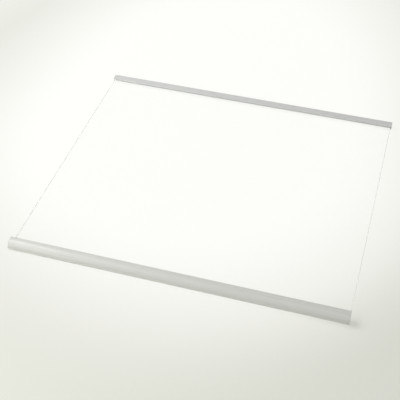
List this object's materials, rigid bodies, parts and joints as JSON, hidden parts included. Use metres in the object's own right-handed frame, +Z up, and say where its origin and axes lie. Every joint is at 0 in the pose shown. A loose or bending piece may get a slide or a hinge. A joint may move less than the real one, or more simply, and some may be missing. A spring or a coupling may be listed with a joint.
{
  "type": "crisper drawer cover",
  "caption": "Flat clear glass cover for a refrigerator crisper drawer, with a hollow bullnose plastic trim on its front edge and a flat plastic channel on its rear edge.",
  "frame": {"origin": "on the plane that the front trim stands on, under the middle of the cover: midway between the nose and the back, and on the middle line of the glass", "axes": "+X along the front edge to the right, +Y from the front trim to the rear trim, +Z up, with the glass level"},
  "size_m": [0.4507, 0.398, 0.015],
  "materials": {
    "clear_glass": "clear tempered glass with ground edges",
    "grey_plastic": "light grey extruded plastic, satin"
  },
  "bodies": {
    "root": {"glass_panel": "clear_glass", "front_trim": "grey_plastic", "rear_trim": "grey_plastic"}
  },
  "joints": []
}
